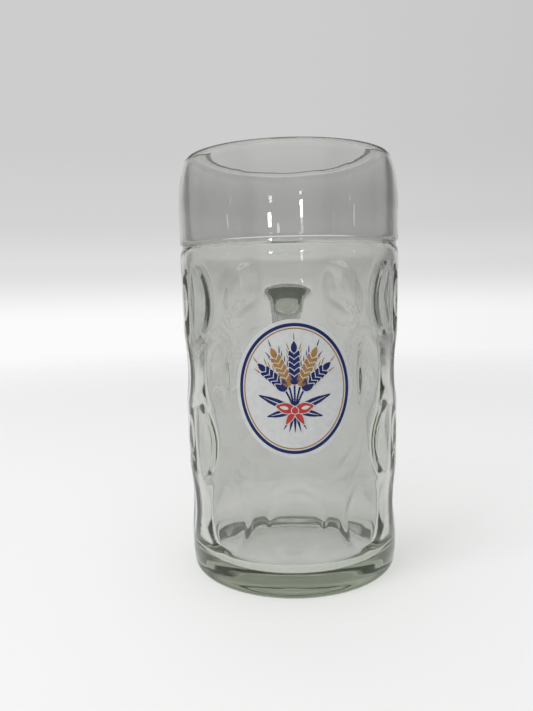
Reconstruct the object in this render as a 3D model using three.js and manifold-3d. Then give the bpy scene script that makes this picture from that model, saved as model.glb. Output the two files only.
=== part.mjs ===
// Glass beer stein: a pressed one-litre mug with rows of thumb-print dimples, a loop handle at the back
// and an oval printed label on a smooth panel at the front.
// Millimetres, +Z up. The label faces -Y and the handle +Y.
import * as THREE from "three";
import Module from "manifold-3d";
import { mergeVertices } from "three/addons/utils/BufferGeometryUtils.js";

// Mug body, outside
const HEIGHT = 202;
const MUG_RADIUS = 53.8;
const WALL_TAPER = 1.9;
const FOOT_STEP = 0.6;
const FOOT_HEIGHT = 9.5;
const HEEL_RADIUS = 4;

// Groove between the dimpled wall and the smooth drinking band
const GROOVE_LEVEL = 159.5;
const GROOVE_DEPTH = 1;
const GROOVE_WIDTH = 2;
const SHOULDER_HEIGHT = 5;
const BEAD_HEIGHT = 2;

// Rim, curving in to a rounded lip
const RIM_CURVE_HEIGHT = 24;
const RIM_TURN = 9.4;
const LIP_INSET = 3.5;
const LIP_THICKNESS = 3.4;
const LIP_HEIGHT = 2.5;

// Hollow under the foot
const FOOT_RING_WIDTH = 10.3;
const KICK_DEPTH = 1.8;

// Thickness of the glass at the band, at the foot of the wall and under the floor
const BAND_WALL = 5.1;
const FOOT_WALL = 7.1;
const FLOOR_THICKNESS = 9;
const FLOOR_FILLET = 5;

// Dimples, in rows staggered by half a pitch
const DIMPLES_PER_ROW = 9;
const DIMPLE_ROWS = 4;
const TOP_ROW_LEVEL = 133.5;
const ROW_PITCH = 32.8;
const DIMPLE_WIDTH = 26;
const DIMPLE_HEIGHT = 34;
const DIMPLE_DEPTH = 2.6;
const CUTTER_REACH = 18;
const HANDLE_STRIP_ANGLE = 15;

// Smooth panel at the front, which the dimples stop at
const PANEL_WIDTH = 60;
const PANEL_HEIGHT = 79;
const PANEL_LEVEL = 96.5;
const PANEL_CORNER = 22;

// Printed label, one layer for each colour
const LABEL_WIDTH = 52.2;
const LABEL_HEIGHT = 60.2;
const LABEL_LEVEL = 96;
const BORDER_INSET = 1.7;
const BORDER_WIDTH = 1.45;
const LINE_INSET = 3.7;
const LINE_WIDTH = 0.55;
const PRINT_THICKNESS = 0.15;
const PRINT_GAP = 0.15;

// Handle: wide on the outer face, narrower where the fingers close round it
const HANDLE_TOP_LEVEL = 131;
const HANDLE_BOTTOM_LEVEL = 50;
const HANDLE_REACH = 50;
const HANDLE_RISE = 5;
const GRIP_THICKNESS = 16;
const GRIP_OUTER_WIDTH = 21;
const GRIP_INNER_WIDTH = 12;
const GRIP_EDGE = 3.5;
const ROOT_FLARE = 0.15;
const ROOT_LENGTH = 12;
const ROOT_SUNK = 8;
const SEAT_GAP = 0.3;

// Facets
const ROUND_SEGMENTS = 60;
const CURVE_STEPS = 3;
const WALL_ROWS = 9;
const DIMPLE_SEGMENTS = 16;
const DIMPLE_RINGS = 16;
const HANDLE_STEPS = 34;
const LABEL_SEGMENTS = 48;
const LABEL_RINGS = 5;

const wasm = await Module();
wasm.setup();

// A closed three.js geometry as a solid that can be cut
function toSolid(geometry) {
  const bare = geometry.clone();
  bare.deleteAttribute("normal");
  bare.deleteAttribute("uv");
  const merged = mergeVertices(bare, 1e-4);
  const vertProperties = new Float32Array(merged.attributes.position.array);
  const triVerts = new Uint32Array(merged.index.array);
  return new wasm.Manifold(new wasm.Mesh({ numProp: 3, vertProperties, triVerts }));
}

// A cut solid back as a three.js geometry
function toGeometry(solid) {
  const mesh = solid.getMesh();
  const geometry = new THREE.BufferGeometry();
  geometry.setAttribute("position", new THREE.BufferAttribute(mesh.vertProperties, 3));
  geometry.setIndex(new THREE.BufferAttribute(mesh.triVerts, 1));
  geometry.computeVertexNormals();
  return geometry;
}

// A profile of radius and height turned round the Z axis
function revolve(points) {
  return new THREE.LatheGeometry(points, ROUND_SEGMENTS).rotateX(Math.PI / 2);
}

// Outer radius of the dimpled wall at a height, before the dimples
const shoulderLevel = GROOVE_LEVEL - GROOVE_WIDTH / 2 - SHOULDER_HEIGHT;
const wallBaseRadius = MUG_RADIUS - WALL_TAPER;
function wallRadius(z) {
  return THREE.MathUtils.mapLinear(z, FOOT_HEIGHT, shoulderLevel, wallBaseRadius, MUG_RADIUS);
}

// Half profile of the mug: underside, outer wall, rim, inner wall and floor
function mugProfile() {
  const footRadius = wallBaseRadius - FOOT_STEP;
  const hollowRadius = footRadius - FOOT_RING_WIDTH;
  const grooveRadius = MUG_RADIUS - GROOVE_DEPTH;
  const grooveBottom = GROOVE_LEVEL - GROOVE_WIDTH / 2;
  const grooveTop = GROOVE_LEVEL + GROOVE_WIDTH / 2;
  const bandTop = HEIGHT - RIM_CURVE_HEIGHT;
  const rimTurn = HEIGHT - RIM_TURN;
  const lipLevel = HEIGHT - LIP_HEIGHT;
  const lipRadius = MUG_RADIUS - LIP_INSET;
  const halfLip = LIP_THICKNESS / 2;
  const bandInside = MUG_RADIUS - BAND_WALL;
  const floorRadius = wallBaseRadius - FOOT_WALL;
  const filletTop = FLOOR_THICKNESS + FLOOR_FILLET;

  const profile = new THREE.Path();
  profile.moveTo(0, KICK_DEPTH);
  profile.quadraticCurveTo(hollowRadius / 2, KICK_DEPTH, hollowRadius, 0);
  profile.lineTo(footRadius - HEEL_RADIUS, 0);
  profile.absarc(footRadius - HEEL_RADIUS, HEEL_RADIUS, HEEL_RADIUS, -Math.PI / 2, 0, false);
  for (let row = 0; row <= WALL_ROWS; row += 1) {
    const level = THREE.MathUtils.lerp(FOOT_HEIGHT, shoulderLevel, row / WALL_ROWS);
    profile.lineTo(wallRadius(level), level);
  }
  profile.quadraticCurveTo(MUG_RADIUS, grooveBottom, grooveRadius, grooveBottom);
  profile.lineTo(grooveRadius, grooveTop);
  profile.quadraticCurveTo(MUG_RADIUS, grooveTop, MUG_RADIUS, grooveTop + BEAD_HEIGHT);
  profile.lineTo(MUG_RADIUS, bandTop);
  profile.quadraticCurveTo(MUG_RADIUS, rimTurn, lipRadius, lipLevel);
  profile.absellipse(lipRadius - halfLip, lipLevel, halfLip, LIP_HEIGHT, 0, Math.PI, false, 0);
  profile.quadraticCurveTo(bandInside, rimTurn, bandInside, bandTop);
  profile.lineTo(floorRadius, filletTop);
  profile.absarc(floorRadius - FLOOR_FILLET, filletTop, FLOOR_FILLET, 0, -Math.PI / 2, true);
  profile.lineTo(0, FLOOR_THICKNESS);
  return profile.getPoints(CURVE_STEPS);
}

// One dimple as an egg-shaped cutter, pole towards the mug's axis, at an angle from the front
function dimpleCutter(angle, level) {
  const radius = wallRadius(level);
  const halfWidth = DIMPLE_WIDTH / 2;
  const sag = radius - Math.sqrt(radius ** 2 - halfWidth ** 2);
  const share = (depth) => Math.sqrt(1 - ((CUTTER_REACH - depth) / CUTTER_REACH) ** 2);
  const cutter = new THREE.SphereGeometry(1, DIMPLE_SEGMENTS, DIMPLE_RINGS);
  cutter.scale(
    halfWidth / share(DIMPLE_DEPTH - sag),
    CUTTER_REACH,
    DIMPLE_HEIGHT / 2 / share(DIMPLE_DEPTH),
  );
  cutter.translate(0, -(radius - DIMPLE_DEPTH + CUTTER_REACH), level);
  cutter.rotateZ(angle);
  return toSolid(cutter);
}

// Every dimple of the staggered rows, without those on the plain strip behind the handle
function dimplePattern() {
  const pitch = (2 * Math.PI) / DIMPLES_PER_ROW;
  const strip = Math.PI - THREE.MathUtils.degToRad(HANDLE_STRIP_ANGLE);
  const cutters = [];
  for (let row = 0; row < DIMPLE_ROWS; row += 1) {
    const level = TOP_ROW_LEVEL - row * ROW_PITCH;
    const offset = row % 2 === 0 ? pitch / 2 : 0;
    for (let place = 0; place < DIMPLES_PER_ROW; place += 1) {
      const angle = offset + place * pitch;
      const fromFront = Math.abs(Math.atan2(Math.sin(angle), Math.cos(angle)));
      if (fromFront < strip) cutters.push(dimpleCutter(angle, level));
    }
  }
  return cutters.reduce((all, cutter) => all.add(cutter));
}

// A block with rounded corners that keeps the dimples off the front panel
function panelBlock() {
  const halfWidth = PANEL_WIDTH / 2;
  const halfHeight = PANEL_HEIGHT / 2;
  const inX = halfWidth - PANEL_CORNER;
  const inZ = halfHeight - PANEL_CORNER;
  const outline = new THREE.Shape();
  outline.absarc(inX, inZ, PANEL_CORNER, 0, Math.PI / 2, false);
  outline.absarc(-inX, inZ, PANEL_CORNER, Math.PI / 2, Math.PI, false);
  outline.absarc(-inX, -inZ, PANEL_CORNER, Math.PI, Math.PI * 1.5, false);
  outline.absarc(inX, -inZ, PANEL_CORNER, Math.PI * 1.5, Math.PI * 2, false);
  const depth = 2 * MUG_RADIUS;
  const block = new THREE.ExtrudeGeometry(outline, { depth, bevelEnabled: false, curveSegments: 6 });
  block.rotateX(Math.PI / 2);
  block.translate(0, 0, PANEL_LEVEL);
  return toSolid(block);
}

// Body: the turned mug less its dimples, which stop at the front panel
function mugBody() {
  const dimples = dimplePattern().subtract(panelBlock());
  return toGeometry(toSolid(revolve(mugProfile())).subtract(dimples));
}

// Section of the handle: x across the grip, y away from the mug
function gripSection() {
  const half = GRIP_THICKNESS / 2;
  const outer = GRIP_OUTER_WIDTH / 2;
  const inner = GRIP_INNER_WIDTH / 2;
  const section = new THREE.Shape();
  section.moveTo(-outer + GRIP_EDGE, half);
  section.quadraticCurveTo(-outer, half, -outer, half - GRIP_EDGE);
  section.quadraticCurveTo(-inner, half - GRIP_EDGE, -inner, inner - half);
  section.absarc(0, inner - half, inner, Math.PI, Math.PI * 2, false);
  section.quadraticCurveTo(inner, half - GRIP_EDGE, outer, half - GRIP_EDGE);
  section.quadraticCurveTo(outer, half, outer - GRIP_EDGE, half);
  section.closePath();
  return section;
}

// Centre line of the handle, from inside the wall at the top to inside the wall at the bottom
function handlePath() {
  const top = wallRadius(HANDLE_TOP_LEVEL);
  const bottom = wallRadius(HANDLE_BOTTOM_LEVEL);
  const grip = top + HANDLE_REACH - GRIP_THICKNESS / 2;
  const span = HANDLE_TOP_LEVEL - HANDLE_BOTTOM_LEVEL;
  const reach = grip - top;
  const at = (y, z) => new THREE.Vector3(0, y, z);
  return new THREE.CatmullRomCurve3([
    at(top - ROOT_SUNK, HANDLE_TOP_LEVEL - HANDLE_RISE / 2),
    at(top + reach * 0.3, HANDLE_TOP_LEVEL + HANDLE_RISE / 2),
    at(top + reach * 0.72, HANDLE_TOP_LEVEL + HANDLE_RISE / 4),
    at(grip, HANDLE_TOP_LEVEL - span * 0.22),
    at(grip - reach * 0.04, HANDLE_TOP_LEVEL - span * 0.5),
    at(grip - reach * 0.24, HANDLE_BOTTOM_LEVEL + span * 0.2),
    at(bottom + reach * 0.3, HANDLE_BOTTOM_LEVEL + span * 0.03),
    at(bottom - ROOT_SUNK, HANDLE_BOTTOM_LEVEL),
  ]);
}

// The handle's ends swell where they meet the wall
function flareRoots(geometry) {
  const position = geometry.attributes.position;
  const middle = (HANDLE_TOP_LEVEL + HANDLE_BOTTOM_LEVEL) / 2;
  const point = new THREE.Vector3();
  for (let index = 0; index < position.count; index += 1) {
    point.fromBufferAttribute(position, index);
    const root = point.z > middle ? HANDLE_TOP_LEVEL : HANDLE_BOTTOM_LEVEL;
    const away = Math.max(Math.hypot(point.x, point.y) - wallRadius(root), 0);
    const near = 1 - THREE.MathUtils.clamp(away / ROOT_LENGTH, 0, 1);
    const swell = 1 + ROOT_FLARE * near ** 2;
    position.setXYZ(index, point.x * swell, point.y, root + (point.z - root) * swell);
  }
}

// Loop handle, its ends cut to the curve of the wall
function handleLoop() {
  const sweep = new THREE.ExtrudeGeometry(gripSection(), {
    steps: HANDLE_STEPS,
    extrudePath: handlePath(),
    curveSegments: 4,
  });
  flareRoots(sweep);
  const seat = revolve([
    new THREE.Vector2(0, FOOT_HEIGHT),
    new THREE.Vector2(wallBaseRadius + SEAT_GAP, FOOT_HEIGHT),
    new THREE.Vector2(MUG_RADIUS + SEAT_GAP, shoulderLevel),
    new THREE.Vector2(0, shoulderLevel),
  ]);
  return toGeometry(toSolid(sweep).subtract(toSolid(seat)));
}

// Wraps a flat oval, drawn round the Y axis with its height as the print's thickness, onto the panel
function wrapOnPanel(geometry, lift) {
  const position = geometry.attributes.position;
  const point = new THREE.Vector3();
  for (let index = 0; index < position.count; index += 1) {
    point.fromBufferAttribute(position, index);
    const level = LABEL_LEVEL + point.z;
    const radius = wallRadius(level);
    const angle = point.x / radius;
    const surface = radius + lift + point.y;
    position.setXYZ(index, surface * Math.sin(angle), -surface * Math.cos(angle), level);
  }
  return geometry;
}

// One printed layer: an oval, or an oval ring of an even width when it has an inner edge
function printLayer(inset, width, layer) {
  const halfWidth = LABEL_WIDTH / 2 - inset;
  const halfHeight = LABEL_HEIGHT / 2 - inset;
  const rings = width ? 1 : LABEL_RINGS;
  const inner = width ? 1 - width / halfWidth : 0;
  const steps = Array.from({ length: rings + 1 }, (_, step) => inner + ((1 - inner) * step) / rings);
  const under = steps.map((share) => new THREE.Vector2(share, 0));
  const over = steps.toReversed().map((share) => new THREE.Vector2(share, PRINT_THICKNESS));
  const closing = width ? [under[0].clone()] : [];
  const geometry = new THREE.LatheGeometry([...under, ...over, ...closing], LABEL_SEGMENTS);
  geometry.scale(halfWidth, 1, -halfHeight);
  return wrapOnPanel(geometry, PRINT_GAP + layer * (PRINT_THICKNESS + PRINT_GAP));
}

// A named piece with its own finish
function piece(name, geometry, finish) {
  const mesh = new THREE.Mesh(geometry, new THREE.MeshStandardMaterial(finish));
  mesh.name = name;
  return mesh;
}

const glass = { color: 0xc9d1c8, roughness: 0.05, metalness: 0, transparent: true, opacity: 0.35 };
const stein = new THREE.Group();
stein.add(
  piece("mug_body", mugBody(), glass),
  piece("handle", handleLoop(), glass),
  piece("label_ground", printLayer(0, 0, 0), { color: 0xd9dad6, roughness: 0.45, metalness: 0 }),
  piece("label_border", printLayer(BORDER_INSET, BORDER_WIDTH, 1), { color: 0x23356e, roughness: 0.4 }),
  piece("label_line", printLayer(LINE_INSET, LINE_WIDTH, 1), { color: 0x9a6a2c, roughness: 0.4 }),
);

// The origin is at the middle of the space the stein takes up, at the height it stands on
const box = new THREE.Box3().setFromObject(stein);
stein.position.y = -(box.min.y + box.max.y) / 2;

const part = new THREE.Group();
part.add(stein);
export default part;
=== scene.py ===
"""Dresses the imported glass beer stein: pressed glass, fired print and a plain studio.

Sizes are in metres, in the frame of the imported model: +Z up, the label faces -Y, the handle +Y.
"""

from __future__ import annotations

import logging
import math
from collections.abc import Callable, Iterable
from dataclasses import dataclass, field, replace
from enum import Enum, IntEnum
from itertools import pairwise
from typing import Any

import bmesh
import bpy
from bpy.types import Material, Node, NodeSocket, NodeTree, Object
from mathutils import Matrix, Vector
from mathutils.geometry import interpolate_bezier

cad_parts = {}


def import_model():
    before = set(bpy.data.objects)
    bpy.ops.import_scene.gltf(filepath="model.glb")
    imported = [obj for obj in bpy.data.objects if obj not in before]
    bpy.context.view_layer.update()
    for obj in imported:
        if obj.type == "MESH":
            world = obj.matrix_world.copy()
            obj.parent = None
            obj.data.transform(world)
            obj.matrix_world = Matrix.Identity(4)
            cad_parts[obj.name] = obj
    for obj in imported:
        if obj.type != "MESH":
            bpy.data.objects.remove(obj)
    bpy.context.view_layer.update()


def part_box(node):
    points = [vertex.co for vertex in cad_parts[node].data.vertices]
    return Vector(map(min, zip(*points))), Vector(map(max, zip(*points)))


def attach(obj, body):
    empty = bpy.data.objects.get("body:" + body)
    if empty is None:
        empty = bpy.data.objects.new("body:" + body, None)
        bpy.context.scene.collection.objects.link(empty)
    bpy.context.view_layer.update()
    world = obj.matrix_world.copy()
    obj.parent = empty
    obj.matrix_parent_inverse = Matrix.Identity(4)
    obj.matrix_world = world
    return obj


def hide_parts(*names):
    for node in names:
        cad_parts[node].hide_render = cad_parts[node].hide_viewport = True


LOG = logging.getLogger("stein")
MM = 0.001
ROOT = "root"

Colour = tuple[float, float, float, float]
Pair = tuple[float, float]
Outline = list[Pair]


class PrintColour(Enum):
    """Colours of the fired print."""

    WHITE = "white"
    BLUE = "blue"
    GOLD = "gold"
    RED = "red"


class PrintLayer(IntEnum):
    """Layers of the emblem, the lowest first; the grains lie from LEAF to TAIL."""

    STROKE = 1
    LEAF = 2
    VEIN = 4
    TAIL = 14
    LOOP = 16
    HOLE = 18
    KNOT = 19


# Bench work


def clear_bench() -> None:
    """Leaves edit mode and deselects everything."""
    if bpy.context.object and bpy.context.object.mode != "OBJECT":
        bpy.ops.object.mode_set(mode="OBJECT")
    bpy.ops.object.select_all(action="DESELECT")


def pick(piece: Object) -> None:
    """Makes one piece the only one selected, and the active one.

    Args:
        piece: The piece.
    """
    clear_bench()
    piece.select_set(True)
    bpy.context.view_layer.objects.active = piece


def settle(piece: Object) -> None:
    """Puts a piece's place, turn and scale into its mesh."""
    pick(piece)
    bpy.ops.object.transform_apply(location=True, rotation=True, scale=True)


def edit(piece: Object) -> None:
    """Opens a piece in edit mode with all of it selected.

    Args:
        piece: The piece.
    """
    pick(piece)
    bpy.ops.object.mode_set(mode="EDIT")
    bpy.ops.mesh.select_mode(type="VERT")
    bpy.ops.mesh.select_all(action="SELECT")


def disc(sides: int, radius: float, *, upright: bool = False, filled: bool = False) -> Object:
    """Draws a flat circle round the origin.

    Args:
        sides: The number of its sides.
        radius: Its radius.
        upright: Whether it stands across the front instead of lying flat.
        filled: Whether it has a face.

    Returns:
        The circle.
    """
    clear_bench()
    turn = (math.pi / 2 if upright else 0.0, 0.0, 0.0)
    fill = "NGON" if filled else "NOTHING"
    bpy.ops.mesh.primitive_circle_add(vertices=sides, radius=radius, fill_type=fill, rotation=turn)
    circle = bpy.context.object
    settle(circle)
    return circle


def choose(piece: Object, test: Callable[[Vector], bool]) -> None:
    """Selects the vertices of the piece in edit mode that pass a test of their place.

    Args:
        piece: The piece that is open in edit mode.
        test: Says whether a vertex at a place is selected.
    """
    bpy.ops.mesh.select_all(action="DESELECT")
    mesh = bmesh.from_edit_mesh(piece.data)
    for vertex in mesh.verts:
        vertex.select_set(test(vertex.co))
    mesh.select_flush(True)
    bmesh.update_edit_mesh(piece.data)


def close_up(piece: Object, distance: float = 0.001 * MM) -> None:
    """Merges doubles and turns the faces of a closed piece outwards.

    Args:
        piece: The piece to close.
        distance: How near two vertices are when they are one.
    """
    edit(piece)
    bpy.ops.mesh.remove_doubles(threshold=distance)
    bpy.ops.mesh.normals_make_consistent(inside=False)
    clear_bench()


def apply_modifier(piece: Object, kind: str, **settings: Any) -> None:
    """Adds a modifier with its settings and applies it.

    Args:
        piece: The piece that it changes.
        kind: Blender's name for the type of modifier.
        settings: Values of the modifier's own properties.
    """
    pick(piece)
    modifier = piece.modifiers.new(kind.title(), kind)
    for name, value in settings.items():
        setattr(modifier, name, value)
    bpy.ops.object.modifier_apply(modifier=modifier.name)


def rename(piece: Object, name: str) -> Object:
    """Gives a piece and its mesh one name.

    Args:
        piece: The piece.
        name: Its new name.

    Returns:
        The piece.
    """
    piece.name = name
    piece.data.name = name
    return piece


def copy_of(piece: Object, place: Matrix) -> Object:
    """Copies a piece with a mesh of its own.

    Args:
        piece: The pattern.
        place: Where the copy goes; it ends in the copy's mesh.

    Returns:
        The copy.
    """
    copy = piece.copy()
    copy.data = piece.data.copy()
    copy.data.transform(place)
    bpy.context.collection.objects.link(copy)
    return copy


def join(parts: Iterable[Object], name: str) -> Object:
    """Joins parts into one piece.

    Args:
        parts: The parts, whose places are in their meshes.
        name: The name of the piece.

    Returns:
        The piece.
    """
    clear_bench()
    first, *others = parts
    for part in (first, *others):
        part.select_set(True)
    bpy.context.view_layer.objects.active = first
    if others:
        bpy.ops.object.join()
    return rename(first, name)


def dress(piece: Object, material: Material) -> None:
    """Gives a piece one material."""
    piece.data.materials.clear()
    piece.data.materials.append(material)


def smooth_step(low: float, high: float, value: float) -> float:
    """Returns 0 below low, 1 above high and an eased share between them."""
    share = min(max((value - low) / (high - low), 0.0), 1.0)
    return share * share * (3.0 - 2.0 * share)


def smooth_most(values: Iterable[float], softness: float) -> float:
    """Returns the largest of some values, with the change from one to the next rounded off.

    Args:
        values: The values, at least one.
        softness: The span over which two values blend.

    Returns:
        The rounded maximum.
    """
    first, *others = values
    for value in others:
        blend = max(softness - abs(first - value), 0.0) / softness
        first = max(first, value) + blend * blend * softness / 4.0
    return first


def curve_through(points: list[Vector], steps: int) -> list[Vector]:
    """Draws one smooth curve through points.

    Args:
        points: The points, in order.
        steps: The number of steps from each point to the next.

    Returns:
        The points of the curve, both ends among them.
    """
    spans = [math.sqrt((end - start).length) for start, end in pairwise(points)]
    slopes = []
    for index, point in enumerate(points):
        before = (point - points[index - 1]) / spans[index - 1] if index else None
        after = (points[index + 1] - point) / spans[index] if index < len(spans) else None
        if before is None or after is None:
            slopes.append(after if before is None else before)
            continue
        whole = (points[index + 1] - points[index - 1]) / (spans[index - 1] + spans[index])
        slopes.append(before - whole + after)
    curve = [points[0]]
    for index, span in enumerate(spans):
        first = points[index] + slopes[index] * span / 3.0
        second = points[index + 1] - slopes[index + 1] * span / 3.0
        drawn = interpolate_bezier(points[index], first, second, points[index + 1], steps + 1)
        curve += drawn[1:]
    return curve


def line(start: Pair, end: Pair, steps: int) -> Outline:
    """Returns even points on a straight line, the first one left out."""
    shares = [step / steps for step in range(1, steps + 1)]
    return [tuple(a + (b - a) * share for a, b in zip(start, end)) for share in shares]


def arc(centre: Pair, radii: Pair, turn: Pair, steps: int) -> Outline:
    """Returns even points on an arc, the first one left out.

    Args:
        centre: The middle of the arc.
        radii: Its half axes.
        turn: The angles of its ends, in degrees.
        steps: The number of steps.

    Returns:
        The points.
    """
    points = []
    for step in range(1, steps + 1):
        angle = math.radians(turn[0] + (turn[1] - turn[0]) * step / steps)
        points.append((centre[0] + radii[0] * math.cos(angle), centre[1] + radii[1] * math.sin(angle)))
    return points


def bow(start: Pair, hold: Pair, end: Pair, steps: int) -> Outline:
    """Returns even points on a curve that leans towards a third point, the first one left out.

    Args:
        start: Where the curve starts.
        hold: The point that it leans towards.
        end: Where it ends.
        steps: The number of steps.

    Returns:
        The points.
    """
    points = []
    for step in range(1, steps + 1):
        share = step / steps
        weights = ((1 - share) ** 2, 2 * share * (1 - share), share**2)
        points.append(
            tuple(
                sum(weight * value for weight, value in zip(weights, values))
                for values in zip(start, hold, end)
            )
        )
    return points


# Finishes


class NodeBench:
    """Places and joins the nodes of one tree.

    The numbers are those of a colour Mix node's two colour inputs and its colour output.
    """

    first_colour = 6
    second_colour = 7
    mixed_colour = 2

    def __init__(self, tree: NodeTree) -> None:
        """Takes the tree and empties it."""
        self.tree = tree
        tree.nodes.clear()

    def add(self, kind: str, inputs: dict[str | int, Any] | None = None, **settings: Any) -> Node:
        """Adds a node.

        Args:
            kind: Blender's name for the type of node.
            inputs: Values, or sockets to join, by the name or number of the input.
            settings: Values of the node's own properties.

        Returns:
            The node.
        """
        node = self.tree.nodes.new(kind)
        for name, value in settings.items():
            setattr(node, name, value)
        for name, value in (inputs or {}).items():
            self.feed(node.inputs[name], value)
        return node

    def feed(self, socket: NodeSocket, value: Any) -> None:
        """Joins an output to an input, or sets the input's value.

        Args:
            socket: The input.
            value: The output to join, or the value.
        """
        if isinstance(value, NodeSocket):
            self.tree.links.new(value, socket)
        else:
            socket.default_value = value

    def fade(self, value: NodeSocket, span: Pair) -> NodeSocket:
        """Eases a value from 0 at the start of a span to 1 at its end.

        Args:
            value: The value.
            span: The start and the end.

        Returns:
            The eased share.
        """
        low, high = span
        eased = self.add(
            "ShaderNodeMapRange",
            {"Value": value, "From Min": low, "From Max": high},
            interpolation_type="SMOOTHSTEP",
        )
        return eased.outputs["Result"]

    def mix(self, share: Any, first: Any, second: Any, blend: str = "MIX") -> NodeSocket:
        """Mixes two colours.

        Args:
            share: The share of the second colour, or a socket that gives it.
            first: The first colour, or its socket.
            second: The second colour, or its socket.
            blend: Blender's name for the way they mix.

        Returns:
            The mixed colour.
        """
        inputs = {0: share, self.first_colour: first, self.second_colour: second}
        node = self.add("ShaderNodeMix", inputs, data_type="RGBA", blend_type=blend)
        return node.outputs[self.mixed_colour]


@dataclass
class SharedEffects:
    """Node groups that more than one finish uses, each built once."""

    noise_span: Pair = (0.3, 0.7)
    sway: float = 0.6
    fine_share: float = 0.03
    ready: dict[str, NodeTree] = field(default_factory=dict)

    def group(self, name: str, inputs: dict[str, str], outputs: dict[str, str]) -> NodeBench | None:
        """Starts a group, unless it is there already.

        Args:
            name: The name of the group.
            inputs: The type of each input socket, by name.
            outputs: The type of each output socket, by name.

        Returns:
            The bench of the new group, or None where the group is ready.
        """
        if name in self.ready:
            return None
        tree = bpy.data.node_groups.new(name, "ShaderNodeTree")
        for socket, kind in inputs.items():
            tree.interface.new_socket(socket, in_out="INPUT", socket_type=kind)
        for socket, kind in outputs.items():
            tree.interface.new_socket(socket, in_out="OUTPUT", socket_type=kind)
        self.ready[name] = tree
        return NodeBench(tree)

    def unevenness(self) -> NodeTree:
        """Makes soft, uneven values between a low and a high one.

        Returns:
            The group.
        """
        numbers = dict.fromkeys(("Scale", "Detail", "Low", "High"), "NodeSocketFloat")
        bench = self.group(
            "unevenness", {"Vector": "NodeSocketVector", **numbers}, {"Value": "NodeSocketFloat"}
        )
        if bench:
            least, most = self.noise_span
            given = bench.add("NodeGroupInput").outputs
            noise = bench.add(
                "ShaderNodeTexNoise",
                {"Vector": given["Vector"], "Scale": given["Scale"], "Detail": given["Detail"]},
            )
            spread = bench.add(
                "ShaderNodeMapRange",
                {
                    "Value": noise.outputs["Fac"],
                    "From Min": least,
                    "From Max": most,
                    "To Min": given["Low"],
                    "To Max": given["High"],
                },
            )
            bench.add("NodeGroupOutput", {"Value": spread.outputs["Result"]})
        return self.ready["unevenness"]

    def ripple(self) -> NodeTree:
        """Makes the height of the slow waves that a mould leaves in glass.

        Returns:
            The group.
        """
        bench = self.group(
            "mould_ripple",
            {"Vector": "NodeSocketVector", "Scale": "NodeSocketFloat", "Fine": "NodeSocketFloat"},
            {"Height": "NodeSocketFloat"},
        )
        if bench:
            given = bench.add("NodeGroupInput").outputs
            slow = bench.add(
                "ShaderNodeTexNoise",
                {
                    "Vector": given["Vector"],
                    "Scale": given["Scale"],
                    "Detail": 1.0,
                    "Distortion": self.sway,
                },
            )
            quick = bench.add(
                "ShaderNodeTexNoise",
                {"Vector": given["Vector"], "Scale": given["Fine"], "Detail": 2.0},
            )
            part = bench.add(
                "ShaderNodeMath", {0: quick.outputs["Fac"], 1: self.fine_share}, operation="MULTIPLY"
            )
            total = bench.add(
                "ShaderNodeMath", {0: slow.outputs["Fac"], 1: part.outputs[0]}, operation="ADD"
            )
            bench.add("NodeGroupOutput", {"Height": total.outputs[0]})
        return self.ready["mould_ripple"]


@dataclass(frozen=True)
class GlassFinish:
    """Clear pressed glass with a faint grey-green body colour; its tint is lighter near the floor,
    painted light that stands in for the light the glass gathers onto the table under it.
    """

    name: str = "pressed_glass"
    tint: Colour = (0.76, 0.76, 0.755, 1.0)
    # Painted light: the lighter tint below these levels brightens the floor seen through the base, as if
    # light were focused under the mug.
    floor_painted_light_tint: Colour = (0.925, 0.92, 0.945, 1.0)
    floor_painted_light_levels: Pair = (14.0 * MM, 34.0 * MM)
    shadow_tint: Colour = (0.99, 0.99, 0.99, 1.0)
    ior: float = 1.52
    body_colour: Colour = (0.555, 0.60, 0.485, 1.0)
    body_density: float = 26.0
    ripple_scale: float = 70.0
    ripple_fine: float = 320.0
    ripple_depth: float = 0.06 * MM
    clean: float = 0.0
    handled: float = 0.02
    marks_scale: float = 28.0
    marks_detail: float = 3.0

    def make(self, effects: SharedEffects) -> Material:
        """Makes the material.

        Args:
            effects: The shared node groups.

        Returns:
            The material.
        """
        material = bpy.data.materials.new(self.name)
        material.use_nodes = True
        bench = NodeBench(material.node_tree)
        place = bench.add("ShaderNodeTexCoord").outputs["Object"]
        marks = bench.add(
            "ShaderNodeGroup",
            {
                "Vector": place,
                "Scale": self.marks_scale,
                "Detail": self.marks_detail,
                "Low": self.clean,
                "High": self.handled,
            },
            node_tree=effects.unevenness(),
        )
        waves = bench.add(
            "ShaderNodeGroup",
            {"Vector": place, "Scale": self.ripple_scale, "Fine": self.ripple_fine},
            node_tree=effects.ripple(),
        )
        bump = bench.add(
            "ShaderNodeBump",
            {"Height": waves.outputs["Height"], "Strength": 1.0, "Distance": self.ripple_depth},
        )
        # Painted light: the tint eases from the lighter floor tint up to the plain tint, lightening the
        # floor and the shade in its fillet.
        level = bench.add("ShaderNodeSeparateXYZ", {"Vector": place}).outputs["Z"]
        glass = bench.add(
            "ShaderNodeBsdfPrincipled",
            {
                "Base Color": bench.mix(bench.fade(level, self.floor_painted_light_levels), self.floor_painted_light_tint, self.tint),
                "Roughness": marks.outputs["Value"],
                "IOR": self.ior,
                "Metallic": 0.0,
                "Transmission Weight": 1.0,
                "Normal": bump.outputs["Normal"],
            },
        )
        body = bench.add(
            "ShaderNodeVolumeAbsorption",
            {"Color": self.body_colour, "Density": self.body_density},
        )
        shade = bench.add("ShaderNodeBsdfTransparent", {"Color": self.shadow_tint})
        rays = bench.add("ShaderNodeLightPath")
        surface = glass.outputs["BSDF"]
        for ray in ("Is Shadow Ray", "Is Diffuse Ray"):
            through = bench.add(
                "ShaderNodeMixShader",
                {0: rays.outputs[ray], 1: surface, 2: shade.outputs["BSDF"]},
            )
            surface = through.outputs["Shader"]
        bench.add(
            "ShaderNodeOutputMaterial", {"Surface": surface, "Volume": body.outputs["Volume"]}
        )
        return material


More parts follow.
